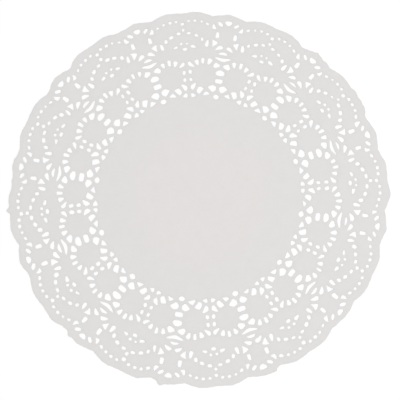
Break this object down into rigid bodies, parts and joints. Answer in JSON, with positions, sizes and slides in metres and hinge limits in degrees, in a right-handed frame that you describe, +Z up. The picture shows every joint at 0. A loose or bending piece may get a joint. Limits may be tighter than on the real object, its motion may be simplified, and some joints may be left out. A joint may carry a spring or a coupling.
{
  "type": "round paper lace doily",
  "caption": "Round die-cut paper doily lying flat: plain middle, wide border of small lace holes and a scalloped, slightly uneven edge.",
  "frame": {"origin": "centre of the lace, on the underside that rests on the table", "axes": "+Z up through the sheet, +X and +Y each along the middle of one of the lace's sprays"},
  "size_m": [0.2025, 0.203, 0.001],
  "materials": {
    "paper": "matt, uncoated, off-white"
  },
  "bodies": {
    "root": {"doily": "paper"}
  },
  "joints": []
}
